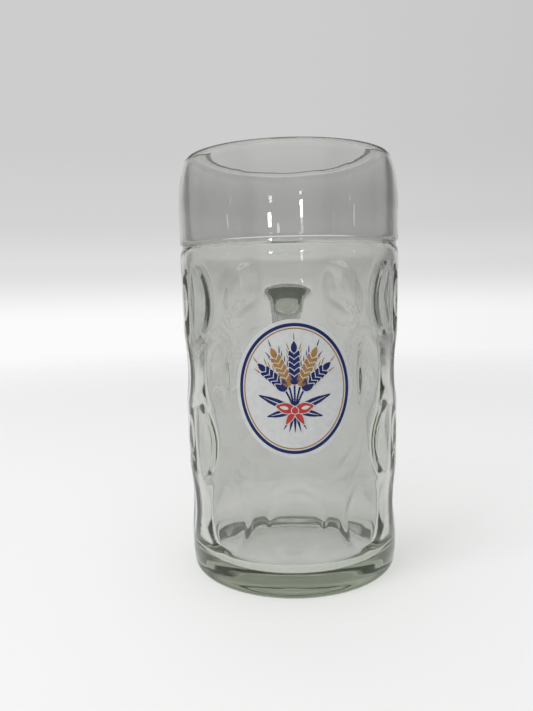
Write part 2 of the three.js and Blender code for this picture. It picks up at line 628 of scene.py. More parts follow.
@dataclass(frozen=True)
class EnamelFinish:
    """Opaque printing enamel, fired on: satin, slightly uneven in tone and thickness."""

    name: str
    colour: Colour
    thin_colour: Colour
    gloss: Pair = (0.28, 0.44)
    shine: float = 0.18
    thickness_scale: float = 420.0
    gloss_scale: float = 180.0
    detail: float = 4.0
    grain: float = 0.012 * MM
    grain_scale: float = 2600.0
    grain_strength: float = 0.6

    def make(self, effects: SharedEffects) -> Material:
        """Makes the material.

        Args:
            effects: The shared node groups.

        Returns:
            The material.
        """
        material = bpy.data.materials.new(self.name)
        material.use_nodes = True
        bench = NodeBench(material.node_tree)
        place = bench.add("ShaderNodeTexCoord").outputs["Object"]
        thickness, roughness = (
            bench.add(
                "ShaderNodeGroup",
                {"Vector": place, "Scale": scale, "Detail": self.detail, "Low": low, "High": high},
                node_tree=effects.unevenness(),
            ).outputs["Value"]
            for scale, (low, high) in (
                (self.thickness_scale, (0.0, 1.0)),
                (self.gloss_scale, self.gloss),
            )
        )
        speckle = bench.add(
            "ShaderNodeTexNoise", {"Vector": place, "Scale": self.grain_scale, "Detail": 2.0}
        )
        bump = bench.add(
            "ShaderNodeBump",
            {
                "Height": speckle.outputs["Fac"],
                "Strength": self.grain_strength,
                "Distance": self.grain,
            },
        )
        enamel = bench.add(
            "ShaderNodeBsdfPrincipled",
            {
                "Base Color": bench.mix(thickness, self.thin_colour, self.colour),
                "Roughness": roughness,
                "Specular IOR Level": self.shine,
                "Normal": bump.outputs["Normal"],
            },
        )
        bench.add("ShaderNodeOutputMaterial", {"Surface": enamel.outputs["BSDF"]})
        return material


PRINT_FINISHES: dict[PrintColour, EnamelFinish] = {
    PrintColour.WHITE: EnamelFinish(
        "enamel_white", (0.56, 0.57, 0.56, 1.0), (0.50, 0.51, 0.51, 1.0)
    ),
    PrintColour.BLUE: EnamelFinish(
        "enamel_blue", (0.006, 0.011, 0.082, 1.0), (0.012, 0.02, 0.105, 1.0)
    ),
    PrintColour.GOLD: EnamelFinish(
        "enamel_gold_brown", (0.26, 0.135, 0.04, 1.0), (0.33, 0.19, 0.07, 1.0)
    ),
    PrintColour.RED: EnamelFinish(
        "enamel_red", (0.36, 0.03, 0.03, 1.0), (0.42, 0.05, 0.045, 1.0)
    ),
}


# The glass


@dataclass
class PressedMug:
    """Foot, dimpled wall, drinking band and inside of the mug, turned round one axis."""

    axis: Vector
    height: float
    foot_radius: float = 51.3 * MM
    foot_height: float = 9.5 * MM
    heel: float = 4.0 * MM
    wall_base_radius: float = 51.9 * MM
    wall_top_radius: float = 53.8 * MM
    band_radius: float = 53.8 * MM
    rim_curve: float = 24.0 * MM
    rim_hold: float = 9.4 * MM
    groove_level: float = 159.5 * MM
    groove_depth: float = 1.0 * MM
    groove_width: float = 2.0 * MM
    shoulder: float = 5.0 * MM
    bead: float = 2.0 * MM
    kick_radius: float = 41.0 * MM
    kick_depth: float = 1.8 * MM
    inner_band_radius: float = 48.7 * MM
    inner_floor_radius: float = 44.8 * MM
    inner_rim_curve: float = 24.0 * MM
    lip_radius: float = 48.6 * MM
    lip: float = 3.4 * MM
    lip_height: float = 2.5 * MM
    floor: float = 9.0 * MM
    floor_fillet: float = 10.0 * MM
    dimples_per_row: int = 9
    row_levels: tuple[float, ...] = (133.5 * MM, 100.7 * MM, 67.9 * MM, 35.1 * MM)
    dimple_width: float = 26.0 * MM
    dimple_height: float = 34.0 * MM
    dimple_depth: float = 2.3 * MM
    dimple_edge: float = 2.1
    ridge_softness: float = 0.3 * MM
    inner_share: float = 0.9
    inner_softness: float = 0.8 * MM
    shoulder_fade: float = 2.5 * MM
    inner_fade: float = 7.0 * MM
    handle_strip: float = math.radians(15.0)
    panel_width: float = 60.0 * MM
    panel_height: float = 79.0 * MM
    panel_level: float = 96.5 * MM
    panel_corner: float = 22.0 * MM
    panel_side_slope: float = 12.0 * MM
    panel_end_slope: float = 5.0 * MM
    plain_strip: Pair = (13.0 * MM, 23.0 * MM)
    crease_span: Pair = (0.84, 1.05)
    wall_play: float = 1.0 * MM
    turn_steps: int = 280
    wall_rows: int = 112
    inner_rows: int = 48
    bend_steps: int = 8
    lip_steps: int = 12
    flat_steps: int = 4

    @property
    def shoulder_level(self) -> float:
        """Height at which the dimpled wall starts to turn in to the groove."""
        return self.groove_level - self.groove_width / 2 - self.shoulder

    def wall_radius(self, level: float) -> float:
        """Returns the radius of the wall at a height, before the dimples."""
        share = (level - self.foot_height) / (self.shoulder_level - self.foot_height)
        return self.wall_base_radius + (self.wall_top_radius - self.wall_base_radius) * share

    def outline(self) -> Outline:
        """Draws the half section, from under the foot over the rim to the floor inside.

        Returns:
            The points, each a radius and a height.
        """
        groove = min(self.wall_top_radius, self.band_radius) - self.groove_depth
        high = self.groove_level + self.groove_width / 2
        half_lip = self.lip / 2
        lip_level = self.height - self.lip_height
        fillet = self.floor_fillet
        floor_corner = (self.inner_floor_radius - fillet, self.floor + fillet)

        points: Outline = [(0.0, self.kick_depth)]
        bends, flats = self.bend_steps, self.flat_steps
        for step in range(1, bends + 1):
            share = step / bends
            points.append((self.kick_radius * share, self.kick_depth * (1.0 - share**3)))
        ring = self.foot_radius - self.heel
        points += line(points[-1], (ring, 0.0), flats - 1)
        points += arc((ring, self.heel), (self.heel, self.heel), (-90, 0), bends)
        points += line(points[-1], (self.wall_base_radius, self.foot_height), flats)
        points += line(points[-1], (self.wall_top_radius, self.shoulder_level), self.wall_rows)
        drop = self.wall_top_radius - groove
        points += arc((groove, self.shoulder_level), (drop, self.shoulder), (0, 90), bends)
        points += line(points[-1], (groove, high), flats - 1)
        bead = (self.band_radius - groove, self.bead)
        points += arc((groove, high + self.bead), bead, (-90, 0), bends - 2)
        points += line(points[-1], (self.band_radius, self.height - self.rim_curve), flats)
        outer_hold = (self.band_radius, self.height - self.rim_hold)
        points += bow(points[-1], outer_hold, (self.lip_radius + half_lip, lip_level), self.lip_steps)
        points += arc((self.lip_radius, lip_level), (half_lip, self.lip_height), (0, 180), self.lip_steps)
        inner_hold = (self.inner_band_radius, self.height - self.rim_hold)
        inner_top = (self.inner_band_radius, self.height - self.inner_rim_curve)
        points += bow(points[-1], inner_hold, inner_top, self.lip_steps - 2)
        points += line(points[-1], (self.inner_floor_radius, self.floor + fillet), self.inner_rows)
        points += arc(floor_corner, (fillet, fillet), (0, -90), bends + 1)
        points += line(points[-1], (0.0, self.floor), bends - 1)
        return points

    def turned(self) -> Object:
        """Draws the half section point by point and spins it.

        Returns:
            The mug with a plain wall.
        """
        outline = self.outline()
        start = self.axis + Vector((outline[0][0], 0.0, outline[0][1]))
        clear_bench()
        bpy.ops.mesh.primitive_plane_add(size=1.0 * MM, location=start)
        mug = bpy.context.object
        settle(mug)
        edit(mug)
        bpy.ops.mesh.merge(type="CENTER")
        for (radius, level), (next_radius, next_level) in pairwise(outline):
            move = (next_radius - radius, 0.0, next_level - level)
            bpy.ops.mesh.extrude_region_move(TRANSFORM_OT_translate={"value": move})
        bpy.ops.mesh.select_all(action="SELECT")
        bpy.ops.mesh.spin(
            steps=self.turn_steps, angle=math.tau, center=self.axis, axis=(0.0, 0.0, 1.0)
        )
        close_up(mug)
        return mug

    def shares(self, point: Vector) -> list[float]:
        """Gives how far a point is from the middle of each dimple near it.

        Args:
            point: A point on the plain wall.

        Returns:
            The distances, each 1 at the dimple's edge.
        """
        angle = math.atan2(point.x - self.axis.x, self.axis.y - point.y)
        radius = self.wall_radius(point.z)
        pitch = math.tau / self.dimples_per_row
        found = []
        for row, level in enumerate(self.row_levels):
            along = (point.z - level) / (self.dimple_height / 2)
            offset = pitch / 2 if row % 2 == 0 else 0.0
            nearest = round((angle - offset) / pitch)
            for place in (nearest - 1, nearest, nearest + 1):
                middle = offset + place * pitch
                middle = math.atan2(math.sin(middle), math.cos(middle))
                if abs(middle) > math.pi - self.handle_strip:
                    continue
                across = radius * math.sin(angle - middle) / (self.dimple_width / 2)
                found.append(math.hypot(across, along))
        return found

    def panel_reach(self, point: Vector) -> Pair:
        """Gives how far a point of the wall is outside the front panel.

        Args:
            point: A point on the plain wall.

        Returns:
            The distance from the panel's edge, negative inside it, and the share of the distance
            that is up or down.
        """
        if point.y > self.axis.y:
            return self.panel_height, 0.0
        across = abs(point.x - self.axis.x) - self.panel_width / 2 + self.panel_corner
        along = abs(point.z - self.panel_level) - self.panel_height / 2 + self.panel_corner
        outside = math.hypot(max(across, 0.0), max(along, 0.0))
        upright = max(along, 0.0) / outside if outside else 0.0
        return outside + min(max(across, along), 0.0) - self.panel_corner, upright

    def depth(self, point: Vector, softness: float) -> float:
        """Gives how deep the dimples press the wall in at a point.

        Args:
            point: A point on the plain wall.
            softness: How far the edges of the dimples are rounded.

        Returns:
            The depth, 0 where the wall stays plain.
        """
        nearest = sorted(self.shares(point))[:2]
        depths = [self.dimple_depth * max(1.0 - share**self.dimple_edge, -1.0) for share in nearest]
        pressed = smooth_most((0.0, *depths), softness)
        distance, upright = self.panel_reach(point)
        slope = self.panel_side_slope + (self.panel_end_slope - self.panel_side_slope) * upright
        share = min(max(distance / slope, 0.0), 1.0)
        if point.y < self.axis.y and point.z > self.panel_level:
            pressed *= smooth_step(*self.plain_strip, abs(point.x - self.axis.x))
        return pressed * share * (2.0 - share)

    def on_wall(self, point: Vector) -> bool:
        """Says whether a point of the plain mug is on the outside of the wall.

        Args:
            point: The point.

        Returns:
            True between the foot and the shoulder, on the outside.
        """
        if not self.foot_height < point.z < self.shoulder_level:
            return False
        away = math.hypot(point.x - self.axis.x, point.y - self.axis.y)
        return away > self.wall_radius(point.z) - self.wall_play

    def near_crease(self, point: Vector) -> bool:
        """Says whether a point of the plain wall is close to the edge of a dimple.

        Args:
            point: The point.

        Returns:
            True within the crease span of the nearest dimple, outside the front panel.
        """
        if not self.on_wall(point) or self.panel_reach(point)[0] < -self.wall_play:
            return False
        low, high = self.crease_span
        return low < min(self.shares(point)) < high

    def press(self, mug: Object) -> None:
        """Presses the dimples into the wall, whose inside follows them.

        Args:
            mug: The mug with a plain wall.
        """
        edit(mug)
        choose(mug, self.near_crease)
        bpy.ops.mesh.subdivide(number_cuts=1)
        clear_bench()
        low, high = self.floor + self.floor_fillet, self.shoulder_level
        for vertex in mug.data.vertices:
            level = vertex.co.z
            away = Vector((vertex.co.x - self.axis.x, vertex.co.y - self.axis.y, 0.0))
            out = away.normalized()
            place = self.axis + out * self.wall_radius(level) + Vector((0.0, 0.0, level))
            if self.on_wall(vertex.co):
                depth = self.depth(place, self.ridge_softness)
                depth *= smooth_step(high, high - self.shoulder_fade, level)
            elif low < level < high and away.length > self.inner_floor_radius - self.wall_play:
                depth = self.depth(place, self.inner_softness) * self.inner_share
                depth *= smooth_step(low, low + self.inner_fade, level)
                depth *= smooth_step(high, high - self.inner_fade, level)
            else:
                continue
            vertex.co -= out * depth
        mug.data.update()

    def build(self) -> Object:
        """Makes the mug without its handle.

        Returns:
            The mug.
        """
        mug = self.turned()
        self.press(mug)
        return mug


@dataclass
class LoopHandle:
    """Loop handle behind the mug, wide outside and narrow where the fingers close round it."""

    mug: PressedMug
    top_level: float = 131.5 * MM
    bottom_level: float = 50.0 * MM
    reach: float = 49.9 * MM
    rise: float = 0.4 * MM
    thickness: float = 16.0 * MM
    outer_width: float = 21.0 * MM
    inner_width: float = 12.0 * MM
    edge: float = 2.6 * MM
    crown: float = 0.9 * MM
    tuck: Pair = (0.9 * MM, 1.4 * MM)
    flank_drop: float = 1.5 * MM
    nose: float = 3.4 * MM
    root_spread: float = 0.36
    root_swell: float = -0.05
    root_length: float = 12.0 * MM
    sunk: float = 3.6 * MM
    arm_marks: tuple[Pair, ...] = ((0.3, 0.5), (0.72, 0.25))
    grip_marks: tuple[Pair, ...] = ((0.0, 0.22), (0.04, 0.5))
    turn_mark: Pair = (0.24, 0.2)
    foot_mark: Pair = (0.3, 0.03)
    crown_steps: int = 5
    edge_turns: tuple[int, ...] = (22, 45, 68, 90)
    tuck_turns: tuple[int, ...] = (40, 75)
    flank_steps: int = 8
    path_steps: int = 9

    def section(self) -> Outline:
        """Draws the section of the grip.

        Returns:
            The points, each a place across the grip and one away from the hand.
        """
        half = self.thickness / 2
        outer = self.outer_width / 2
        inner = self.inner_width / 2
        right: Outline = []
        for step in range(self.crown_steps + 1):
            share = step / self.crown_steps
            right.append(((outer - self.edge) * share, half - self.crown * share**2))
        shelf = half - self.crown - self.edge / 2
        for turn in map(math.radians, self.edge_turns):
            across = outer - self.edge + self.edge * math.sin(turn)
            right.append((across, shelf + self.edge / 2 * math.cos(turn)))
        inwards, down = self.tuck
        for turn in map(math.radians, self.tuck_turns):
            right.append((outer - inwards * math.sin(turn), shelf - down * (1 - math.cos(turn))))
        start = right[-1]
        nose = self.nose - half
        right += bow(start, (inner, start[1] - self.flank_drop), (inner, nose), self.flank_steps)
        right += arc((0.0, nose), (inner, self.nose), (0, -90), self.flank_steps)
        left = [(-across, away) for across, away in reversed(right[1:-1])]
        return right + left

    def path(self) -> list[Vector]:
        """Draws the middle line of the handle, both its ends inside the wall.

        Returns:
            The points of the line, from the upper root to the lower one.
        """
        top = self.mug.wall_radius(self.top_level)
        bottom = self.mug.wall_radius(self.bottom_level)
        grip = top + self.reach - self.thickness / 2
        span = self.top_level - self.bottom_level
        reach = grip - top
        marks = [
            (top - self.sunk, self.top_level),
            *((top + reach * out, self.top_level + self.rise * up) for out, up in self.arm_marks),
            *((grip - reach * back, self.top_level - span * down) for back, down in self.grip_marks),
            (grip - reach * self.turn_mark[0], self.bottom_level + span * self.turn_mark[1]),
            (bottom + reach * self.foot_mark[0], self.bottom_level + span * self.foot_mark[1]),
            (bottom - self.sunk, self.bottom_level),
        ]
        axis = self.mug.axis
        points = [Vector((axis.x, axis.y + away, level)) for away, level in marks]
        return curve_through(points, self.path_steps)

    def swell(self, point: Vector) -> Pair:
        """Gives how the section changes near a root.

        Args:
            point: A point of the middle line.

        Returns:
            How many times as wide and as thick the section is.
        """
        away = point.y - self.mug.axis.y - self.mug.wall_radius(point.z)
        near = 1.0 - min(max(away / self.root_length, 0.0), 1.0)
        return 1.0 + self.root_spread * near**2, 1.0 + self.root_swell * near**2

    def build(self) -> Object:
        """Extrudes the grip's section along the middle line, ring by ring.

        Returns:
            The closed loop.
        """
        path = self.path()
        section = self.section()
        loop = disc(len(section), self.thickness)
        edit(loop)
        mesh = bmesh.from_edit_mesh(loop.data)
        mesh.verts.ensure_lookup_table()
        tilts = [
            math.atan2(after.z - before.z, after.y - before.y)
            for before, after in zip([path[0], *path[:-1]], [*path[1:], path[-1]])
        ]
        wide, thick = self.swell(path[0])
        turn = Matrix.Rotation(tilts[0], 3, "X")
        for vertex, (across, away) in zip(mesh.verts, section):
            vertex.co = path[0] + turn @ Vector((across * wide, 0.0, away * thick))
        bmesh.update_edit_mesh(loop.data)
        for (start, end), (tilt, next_tilt) in zip(pairwise(path), pairwise(tilts)):
            wider, thicker = (new / old for new, old in zip(self.swell(end), self.swell(start)))
            bpy.ops.mesh.extrude_region_move(TRANSFORM_OT_translate={"value": end - start})
            bpy.ops.transform.rotate(
                value=tilt - next_tilt, orient_axis="X", orient_type="GLOBAL", center_override=end
            )
            bpy.ops.transform.resize(value=(wider, thicker, thicker), center_override=end)
        bpy.ops.mesh.select_all(action="SELECT")
        bpy.ops.mesh.fill_holes(sides=0)
        close_up(loop)
        return loop


@dataclass
class GlassStein:
    """The whole glass, mug and handle pressed in one."""

    mug: PressedMug
    handle: LoopHandle
    finish: GlassFinish
    seam_width: float = 0.85
    seam_height: float = 0.95
    seam_span: Pair = (-0.8 * MM, 5.0 * MM)
    smoothing: float = 0.5
    smoothing_rounds: int = 10
    weld: float = 0.002 * MM

    def near_root(self, point: Vector) -> bool:
        """Says whether a point is close to where the handle meets the wall.

        Args:
            point: A point of the glass.

        Returns:
            True within the seam's width and height, in shares of the grip, and its span.
        """
        handle, axis = self.handle, self.mug.axis
        if point.y < axis.y or abs(point.x - axis.x) > handle.outer_width * self.seam_width:
            return False
        root = min((handle.top_level, handle.bottom_level), key=lambda level: abs(level - point.z))
        if abs(point.z - root) > handle.thickness * self.seam_height:
            return False
        radius = math.hypot(point.x - axis.x, point.y - axis.y)
        low, high = self.seam_span
        return low < radius - self.mug.wall_radius(point.z) < high

    def build(self, effects: SharedEffects) -> Object:
        """Joins the handle to the mug and dresses the glass.

        Args:
            effects: The shared node groups.

        Returns:
            The glass.
        """
        glass = self.mug.build()
        loop = self.handle.build()
        apply_modifier(glass, "BOOLEAN", operation="UNION", object=loop, solver="MANIFOLD")
        bpy.data.objects.remove(loop)
        edit(glass)
        choose(glass, self.near_root)
        bpy.ops.mesh.vertices_smooth(factor=self.smoothing, repeat=self.smoothing_rounds)
        clear_bench()
        close_up(glass, self.weld)
        pick(glass)
        bpy.ops.object.shade_smooth()
        rename(glass, "glass_stein")
        dress(glass, self.finish.make(effects))
        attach(glass, ROOT)
        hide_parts("mug_body", "handle")
        return glass


# The print


@dataclass(frozen=True)
class Motif:
    """One leaf, grain or stroke of the emblem, drawn on the flat label."""

    colour: PrintColour
    place: Pair
    turn: float
    width: float
    length: float
    layer: int = PrintLayer.STROKE
    point_share: float = 2.5

    def outlined(self, edge: float, colour: PrintColour = PrintColour.WHITE) -> list[Motif]:
        """Returns the motif with one of another colour under it that shows as a thin edge.

        Args:
            edge: The width of the edge.
            colour: The colour of the edge.

        Returns:
            The two motifs, the lower one first.
        """
        turn = math.radians(self.turn)
        start = (self.place[0] - edge * math.sin(turn), self.place[1] - edge * math.cos(turn))
        width, length = self.width + 2 * edge, self.length + self.point_share * edge
        under = Motif(colour, start, self.turn, width, length, self.layer)
        return [under, replace(self, layer=self.layer + 1)]


@dataclass
class HarvestEmblem:
    """A sheaf of barley between leaves, tied with a ribbon."""

    knot: Pair = (0.0, -9.0 * MM)
    ears: tuple[tuple[float, float, PrintColour], ...] = (
        (36.0, 20.5 * MM, PrintColour.BLUE),
        (-36.0, 20.5 * MM, PrintColour.BLUE),
        (19.0, 23.5 * MM, PrintColour.GOLD),
        (-19.0, 23.5 * MM, PrintColour.GOLD),
        (0.0, 24.5 * MM, PrintColour.BLUE),
    )
    leaf_sizes: tuple[tuple[float, float, float], ...] = (
        (68.0, 3.4 * MM, 17.0 * MM),
        (104.0, 3.0 * MM, 12.5 * MM),
    )
    vein: Pair = (0.45 * MM, 0.88)
    stalk_ends: tuple[float, ...] = (150.0, 165.0, 180.0, 195.0, 210.0)
    stalk_end_size: Pair = (1.1 * MM, 10.0 * MM)
    stalk_bends: tuple[Pair, ...] = ((0.5, 0.72), (1.0, 1.0))
    stalk_steps: int = 10
    stalk_width: float = 0.9 * MM
    stalk_overlap: float = 1.8
    grain_size: Pair = (2.7 * MM, 5.2 * MM)
    grain_pairs: int = 5
    grain_start: int = 9
    grain_lean: float = 24.0
    awn_size: Pair = (0.5 * MM, 4.2 * MM)
    awn_foot: float = 0.9
    awn_lean: float = 0.8
    tail_turn: float = 148.0
    tail_size: Pair = (2.6 * MM, 7.4 * MM)
    loop_turn: float = 78.0
    loop_size: Pair = (4.6 * MM, 8.2 * MM)
    hole_place: Pair = (2.8 * MM, 0.6 * MM)
    hole_size: Pair = (1.6 * MM, 3.8 * MM)
    knot_drop: float = 1.7 * MM
    knot_size: Pair = (2.9 * MM, 3.2 * MM)
    edge: float = 0.3 * MM

    def stalk(self, lean: float, length: float) -> list[Vector]:
        """Draws the line of one stalk.

        Args:
            lean: How far its tip leans from upright, in degrees.
            length: How far the tip is from the knot.

        Returns:
            The points of the line, from the knot up.
        """
        knot = Vector((self.knot[0], 0.0, self.knot[1]))
        marks = [knot]
        for share, bend in self.stalk_bends:
            aim = math.radians(lean * bend)
            marks.append(knot + Vector((math.sin(aim), 0.0, math.cos(aim))) * length * share)
        return curve_through(marks, self.stalk_steps)

    def grain(self, foot: Vector, turn: float, colour: PrintColour, layer: int) -> list[Motif]:
        """Draws one grain and its awn.

        Args:
            foot: Where the grain sits on the stalk.
            turn: The way that it points, in degrees from upright.
            colour: Its colour.
            layer: Its layer.

        Returns:
            The motifs.
        """
        width, length = self.grain_size
        aim, reach = math.radians(turn), length * self.awn_foot
        tip = (foot.x + reach * math.sin(aim), foot.z + reach * math.cos(aim))
        other = PrintColour.GOLD if colour is PrintColour.BLUE else PrintColour.BLUE
        awn = Motif(other, tip, turn * self.awn_lean, *self.awn_size)
        kernel = Motif(colour, (foot.x, foot.z), turn, width, length, layer)
        return [awn, *kernel.outlined(self.edge)]

    def ear(self, lean: float, length: float, colour: PrintColour) -> list[Motif]:
        """Draws one ear of barley with its stalk.

        Args:
            lean: How far its tip leans from upright, in degrees.
            length: How far the tip is from the knot.
            colour: The colour of the grains.

        Returns:
            The motifs.
        """
        curve = self.stalk(lean, length)
        steps = list(pairwise(curve))
        turns = [math.degrees(math.atan2(end.x - start.x, end.z - start.z)) for start, end in steps]
        drawn = []
        for (start, end), turn in zip(steps, turns):
            reach = (end - start).length * self.stalk_overlap
            drawn.append(Motif(PrintColour.BLUE, (start.x, start.z), turn, self.stalk_width, reach))
        for pair in range(self.grain_pairs):
            index = self.grain_start + 2 * pair
            layer = PrintLayer.LEAF + 2 * (self.grain_pairs - pair)
            for side in (-1, 1):
                turn = turns[index] + side * self.grain_lean
                drawn += self.grain(curve[index], turn, colour, layer)
        return drawn + self.grain(curve[-1], turns[-1], colour, PrintLayer.LEAF)

    def leaves(self) -> list[Motif]:
        """Draws the leaves and the cut ends of the stalks below the knot.

        Returns:
            The motifs.
        """
        drawn = [
            Motif(PrintColour.BLUE, self.knot, turn, *self.stalk_end_size) for turn in self.stalk_ends
        ]
        vein, share = self.vein
        for side in (-1, 1):
            for lean, width, length in self.leaf_sizes:
                turn = side * lean
                drawn += [
                    Motif(PrintColour.BLUE, self.knot, turn, width, length, PrintLayer.LEAF),
                    Motif(PrintColour.WHITE, self.knot, turn, vein, length * share, PrintLayer.VEIN),
                ]
        return drawn

    def ribbon(self) -> list[Motif]:
        """Draws the bow that ties the stalks.

        Returns:
            The motifs.
        """
        red = PrintColour.RED
        across, along = self.knot
        drawn = []
        for side in (-1, 1):
            turn = side * self.loop_turn
            tail = Motif(red, self.knot, side * self.tail_turn, *self.tail_size, PrintLayer.TAIL)
            loop = Motif(red, self.knot, turn, *self.loop_size, PrintLayer.LOOP)
            hole = (across + side * self.hole_place[0], along + self.hole_place[1])
            drawn += tail.outlined(self.edge) + loop.outlined(self.edge)
            drawn.append(Motif(PrintColour.WHITE, hole, turn, *self.hole_size, PrintLayer.HOLE))
        foot = (across, along - self.knot_drop)
        return drawn + Motif(red, foot, 0.0, *self.knot_size, PrintLayer.KNOT).outlined(self.edge)

    def motifs(self) -> list[Motif]:
        """Draws the whole emblem.

        Returns:
            The motifs.
        """
        drawn = self.leaves() + self.ribbon()
        for lean, length, colour in self.ears:
            drawn += self.ear(lean, length, colour)
        return drawn


@dataclass
class PrintedLabel:
    """Oval label, printed on the panel in thin fired films, one for each colour."""

    mug: PressedMug
    emblem: HarvestEmblem
    width: float = 52.2 * MM
    height: float = 60.2 * MM
    level: float = 96.0 * MM
    border_inset: float = 1.7 * MM
    border_width: float = 1.45 * MM
    line_inset: float = 3.7 * MM
    line_width: float = 0.55 * MM
    film: float = 0.03 * MM
    layer_step: float = 0.014 * MM
    oval_steps: int = 120
    oval_rings: int = 14
    petal_steps: int = 16
    petal_taper: tuple[Pair, ...] = ((0.6, 0.88), (0.8, 0.72))
    sharp_edge: float = math.radians(30.0)

    def lift(self, layer: int) -> float:
        """Returns how far the underside of a layer is from the glass, below it for the ground."""
        return self.layer_step * layer if layer else -self.film / 2

    def face_front(self, piece: Object) -> None:
        """Turns the faces of a flat piece to the front.

        Args:
            piece: The flat piece.
        """
        edit(piece)
        bpy.ops.mesh.normals_make_consistent(inside=False)
        clear_bench()
        if piece.data.polygons[0].normal.y > 0.0:
            edit(piece)
            bpy.ops.mesh.flip_normals()
            clear_bench()

    def oval(self, inset: float, ring_width: float = 0.0) -> Object:
        """Draws a flat oval, or an oval ring.

        Args:
            inset: How far its edge is inside the label's edge.
            ring_width: The width of the ring, or 0 for a full oval.

        Returns:
            The flat piece, its middle at the origin.
        """
        across, along = self.width / 2 - inset, self.height / 2 - inset
        piece = disc(self.oval_steps, 1.0, upright=True)
        edit(piece)
        bpy.ops.transform.resize(value=(across, 1.0, along), center_override=(0.0, 0.0, 0.0))
        if ring_width:
            shares = [((across - ring_width) / across, (along - ring_width) / along)]
        else:
            shares = [((ring - 1) / ring,) * 2 for ring in range(self.oval_rings, 1, -1)]
        for share_across, share_along in shares:
            bpy.ops.mesh.extrude_region_move()
            bpy.ops.transform.resize(
                value=(share_across, 1.0, share_along), center_override=(0.0, 0.0, 0.0)
            )
        if not ring_width:
            bpy.ops.mesh.edge_face_add()
            bpy.ops.mesh.poke()
        self.face_front(piece)
        return piece

    def petal(self) -> Object:
        """Draws a pointed leaf of unit size, from its foot at the origin straight up.

        Returns:
            The flat leaf.
        """
        leaf = disc(self.petal_steps, 0.5, upright=True, filled=True)
        edit(leaf)
        bpy.ops.transform.translate(value=(0.0, 0.0, 0.5))
        for level, share in self.petal_taper:
            choose(leaf, lambda place, level=level: place.z > level)
            bpy.ops.transform.resize(value=(share, 1.0, 1.0), center_override=(0.0, 0.0, level))
        bpy.ops.mesh.select_all(action="SELECT")
        bpy.ops.mesh.poke()
        bpy.ops.mesh.subdivide(number_cuts=1)
        self.face_front(leaf)
        return leaf

    def fire(self, piece: Object) -> None:
        """Bends a flat piece round the wall and gives the film its thickness.

        Args:
            piece: The flat piece, whose own depth is its lift off the glass.
        """
        axis = self.mug.axis
        for vertex in piece.data.vertices:
            level = self.level + vertex.co.z
            radius = self.mug.wall_radius(level)
            angle = vertex.co.x / radius
            reach = radius - vertex.co.y
            vertex.co = axis + Vector((reach * math.sin(angle), -reach * math.cos(angle), level))
        apply_modifier(piece, "SOLIDIFY", thickness=self.film, offset=1.0, use_even_offset=True)
        pick(piece)
        bpy.ops.object.shade_smooth_by_angle(angle=self.sharp_edge)

    def draw(self, motifs: list[Motif]) -> dict[PrintColour, Object]:
        """Draws the emblem flat, one piece for each colour.

        Args:
            motifs: The motifs, each with its layer.

        Returns:
            The flat pieces.
        """
        leaf = self.petal()
        drawn: dict[PrintColour, list[Object]] = {colour: [] for colour in PrintColour}
        for motif in motifs:
            place = Matrix.Translation((motif.place[0], -self.lift(motif.layer + 1), motif.place[1]))
            turn = Matrix.Rotation(math.radians(motif.turn), 4, "Y")
            size = Matrix.Diagonal((motif.width, 1.0, motif.length, 1.0))
            drawn[motif.colour].append(copy_of(leaf, place @ turn @ size))
        bpy.data.objects.remove(leaf)
        return {
            colour: join(leaves, f"label_emblem_{colour.value}") for colour, leaves in drawn.items()
        }

    def build(self, effects: SharedEffects) -> list[Object]:
        """Makes the label's pieces.

        Args:
            effects: The shared node groups.

        Returns:
            The pieces.
        """
        finishes = {colour: finish.make(effects) for colour, finish in PRINT_FINISHES.items()}
        border, thin_line = (self.border_inset, self.border_width), (self.line_inset, self.line_width)
        colours = []
        for name, node, colour, layer, ring in (
            ("label_white_oval", "label_ground", PrintColour.WHITE, 0, (0.0, 0.0)),
            ("label_blue_ring", "label_border", PrintColour.BLUE, 1, border),
            ("label_gold_ring", "label_line", PrintColour.GOLD, 1, thin_line),
        ):
            piece = rename(self.oval(*ring), name)
            piece.data.transform(Matrix.Translation((0.0, -self.lift(layer), 0.0)))
            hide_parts(node)
            colours.append((piece, colour))
        emblem = self.draw(self.emblem.motifs())
        colours += [(piece, colour) for colour, piece in emblem.items()]
        for piece, colour in colours:
            self.fire(piece)
            dress(piece, finishes[colour])
            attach(piece, ROOT)
        return [piece for piece, _ in colours]


# The studio


@dataclass(frozen=True)
class Lamp:
    """One soft lamp that looks at the mug."""

    name: str
    azimuth: float
    elevation: float
    distance: float
    size: Pair
    power: float
    mirrored: bool = False


